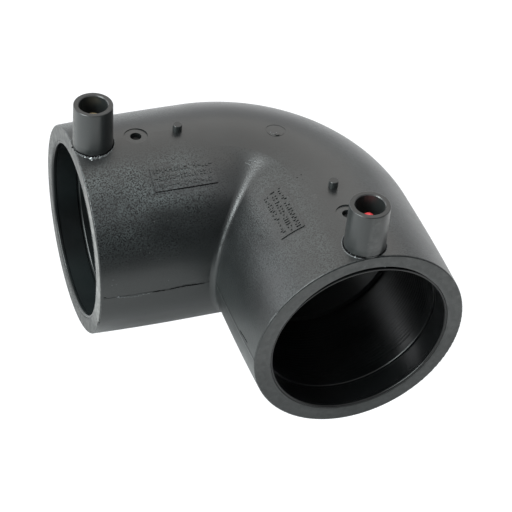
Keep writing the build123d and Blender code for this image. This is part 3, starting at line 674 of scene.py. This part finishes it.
chips("whitened_bits_a", [
    (90.9, 158.6, 1.30, 0.85, 0.45, 40),
    (91.8, 160.2, 0.60, 0.45, 0.30, 10),
    (85.4, 157.0, 0.85, 0.50, 0.32, 15),
    (82.9, 155.3, 0.55, 0.32, 0.22, 60),
], WHITENED, 31)
chips("scuffed_bits_a", [
    (75.9, 151.6, 0.70, 0.45, 0.22, 30), (79.3, 153.9, 0.55, 0.35, 0.20, 100),
    (97.3, 156.3, 0.45, 0.75, 0.25, 5), (99.0, 155.6, 0.35, 0.60, 0.25, 0),
    (102.6, 155.9, 0.35, 0.80, 0.25, 0), (108.6, 152.6, 0.80, 0.35, 0.22, 150),
    (111.2, 150.9, 0.95, 0.40, 0.25, 145), (113.2, 148.2, 0.50, 0.30, 0.20, 120),
    (95.6, 157.9, 0.50, 0.35, 0.20, 70),
], SCUFFED, 32)
chips("whitened_bits_b", [
    (355.2, 257.2, 0.70, 0.42, 0.25, 20), (353.4, 256.0, 0.45, 0.28, 0.20, 60),
], WHITENED, 33)
chips("scuffed_bits_b", [
    (350.8, 253.6, 0.60, 0.35, 0.18, 45), (348.2, 251.8, 0.45, 0.30, 0.16, 30),
    (346.9, 254.7, 0.45, 0.30, 0.16, 80), (358.6, 257.9, 0.70, 0.30, 0.18, 10),
    (344.6, 249.0, 0.50, 0.30, 0.16, 50), (379.8, 256.2, 0.70, 0.35, 0.18, 160),
    (386.2, 247.6, 0.60, 0.45, 0.28, 60), (387.4, 244.6, 0.45, 0.35, 0.22, 90),
    (276.5, 132.5, 0.45, 0.25, 0.08, 0), (272.8, 133.9, 1.15, 0.45, 0.14, 8), (270.5, 132.6, 0.50, 0.30, 0.10, 40),
], SCUFFED, 34)
# dark bits: partly the dark dots of joint lines and the seam, partly painted shade over small dents
chips("dark_bits", [
    (72.9, 147.2, 1.30, 0.95, 0.25, 10), (97.3, 323.0, 0.75, 2.6, 0.10, 4), (96.9, 319.2, 0.50, 1.0, 0.10, 0), (105.0, 297.8, 1.10, 0.45, 0.10, 0), (94.6, 271.2, 0.45, 0.50, 0.08, 0),
    (95.1, 292.2, 0.45, 0.60, 0.08, 0), (297.2, 177.6, 0.65, 0.50, 0.05, 0), (301.2, 174.7, 0.60, 0.55, 0.04, 0),
    (302.4, 179.3, 0.40, 0.35, 0.04, 0),
], DARK_AND_SHADE, 35)
chips("lip_bits_b", [
    (361.0, 271.6, 0.70, 0.50, 0.35, 30), (363.4, 271.0, 0.40, 0.30, 0.25, 70), (385.0, 266.6, 0.55, 0.40, 0.25, 0),
], SCUFFED, 36)

seam_cover("seam_swell_b", LEG_B, 1, 0.7 * MM, 40.0 * MM, 1.0 * MM, 0.15 * MM, 51)
ridge("seam_flash_a1", [(117.0, 297.2), (124.0, 297.0), (131.0, 296.7), (137.0, 296.0), (143.0, 294.4), (151.0, 292.9)], 0.75, 0.16, FLASH, 41)
# raised flash along the seam, painted near-black as painted shade of the seam's groove
ridge("seam_flash_a2", [(152.0, 292.3), (160.0, 290.9), (168.0, 289.8), (174.0, 288.4), (180.0, 286.9), (190.0, 285.4), (198.0, 284.3), (205.0, 283.2)], 0.46, 0.16, DARK_AND_SHADE, 42)
ridge("seam_flash_b", [(239.6, 329.8), (242.2, 334.2), (245.4, 339.4), (247.6, 343.2)], 0.55, 0.12, DARK_AND_SHADE, 43)
ridge("burr_1", [(247.6, 160.2), (250.0, 160.3), (253.0, 160.9), (256.2, 162.0)], 0.42, 0.10, FLASH, 44)
ridge("burr_2", [(244.9, 162.2), (246.6, 163.3), (248.8, 164.2), (251.6, 164.9)], 0.50, 0.13, FLASH, 45)
# the panel's lower edge: a thin ridge of painted shade
ridge("panel_edge_a", [(155.2, 192.6), (165.0, 191.0), (180.0, 188.8), (200.0, 185.7), (218.6, 182.6)], 0.52, 0.10, DARK_AND_SHADE, 46, 0.2)

FLOOR_SIDE = 5.0
floor = add_mesh(
    "floor",
    [(-FLOOR_SIDE, -FLOOR_SIDE, 0), (FLOOR_SIDE, -FLOOR_SIDE, 0), (FLOOR_SIDE, FLOOR_SIDE, 0), (-FLOOR_SIDE, FLOOR_SIDE, 0)],
    [(0, 1, 2, 3)],
    floor_paint(),
    smooth=False,
    body=None,
)

world = bpy.data.worlds.new("studio")
world.use_nodes = True
world.node_tree.nodes["Background"].inputs["Color"].default_value = (0.97, 0.985, 1.0, 1.0)
world.node_tree.nodes["Background"].inputs["Strength"].default_value = 1.0
bpy.context.scene.world = world


def softbox(name, azimuth, elevation, distance, width, height, radiance, colour):
    """A rectangular light that faces the elbow from a direction."""
    light = bpy.data.lights.new(name, "AREA")
    light.shape = "RECTANGLE"
    light.size, light.size_y = width, height
    light.energy = radiance * math.pi * width * height
    light.color = colour
    o = bpy.data.objects.new(name, light)
    az, el = math.radians(azimuth), math.radians(elevation)
    d = Vector((math.cos(el) * math.cos(az), math.cos(el) * math.sin(az), math.sin(el)))
    o.location = Vector((0, 0, 0.04)) + d * distance
    o.rotation_mode = "QUATERNION"
    o.rotation_quaternion = d.to_track_quat("Z", "Y")
    o.visible_camera = False
    bpy.context.scene.collection.objects.link(o)
    return o


softbox("overhead", 85, 62, 1.35, 2.6, 1.9, 1.05, (1.0, 0.96, 0.885))
softbox("key_high", 184, 52, 1.15, 0.40, 0.44, 15.8, (0.915, 0.985, 0.995))
softbox("key", 204, 26, 1.1, 0.46, 0.58, 12.5, (0.895, 0.99, 0.985))
softbox("rear_left", 137, 14, 1.35, 1.1, 0.55, 2.2, (0.95, 0.975, 1.0))

# a black cloth lies in front of the flag
cloth_verts, cloth_faces = [], []
for i in range(25):
    t = math.radians(-140 + 108 * i / 24)
    for r in (0.235, 1.16):
        cloth_verts.append((r * math.cos(t), r * math.sin(t), 0.0015))
for i in range(24):
    cloth_faces.append((2 * i, 2 * i + 1, 2 * i + 3, 2 * i + 2))
cloth = add_mesh("cloth", cloth_verts, cloth_faces, flag_cloth(), body=None)
cloth.visible_camera = False

# and grey paper lies under the elbow
PAPER_R = 0.235
paper_verts = [(PAPER_R * math.cos(2 * math.pi * i / 64), PAPER_R * math.sin(2 * math.pi * i / 64), 0.0001) for i in range(64)]
paper = add_mesh("paper", paper_verts, [tuple(range(64))], near_paper(), body=None)
paper.visible_camera = False

# a black flag in front keeps the flanks of the elbow dark
flag_verts, flag_faces = [], []
FLAG_R, FLAG_H, FLAG_N = 1.18, 0.92, 24
for i in range(FLAG_N + 1):
    t = math.radians(-143 + 113 * i / FLAG_N)
    flag_verts += [(FLAG_R * math.cos(t), FLAG_R * math.sin(t), 0.02), (FLAG_R * math.cos(t), FLAG_R * math.sin(t), FLAG_H)]
for i in range(FLAG_N):
    flag_faces.append((2 * i, 2 * i + 2, 2 * i + 3, 2 * i + 1))
flag = add_mesh("flag", flag_verts, flag_faces, flag_cloth(), body=None)
flag.visible_camera = False

camera = bpy.data.cameras.new("camera")
camera.lens = 121.80
camera.sensor_width = 36.0
camera.sensor_fit = "HORIZONTAL"
camera.clip_start, camera.clip_end = 0.01, 20.0
cam = bpy.data.objects.new("camera", camera)
cam.matrix_world = Matrix.Translation(CAM_AT) @ Matrix((CAM_RIGHT, CAM_UP, -CAM_FORWARD)).transposed().to_4x4()
bpy.context.scene.collection.objects.link(cam)
bpy.context.scene.camera = cam
bpy.context.scene.view_settings.view_transform = "Standard"
bpy.context.scene.view_settings.look = "None"
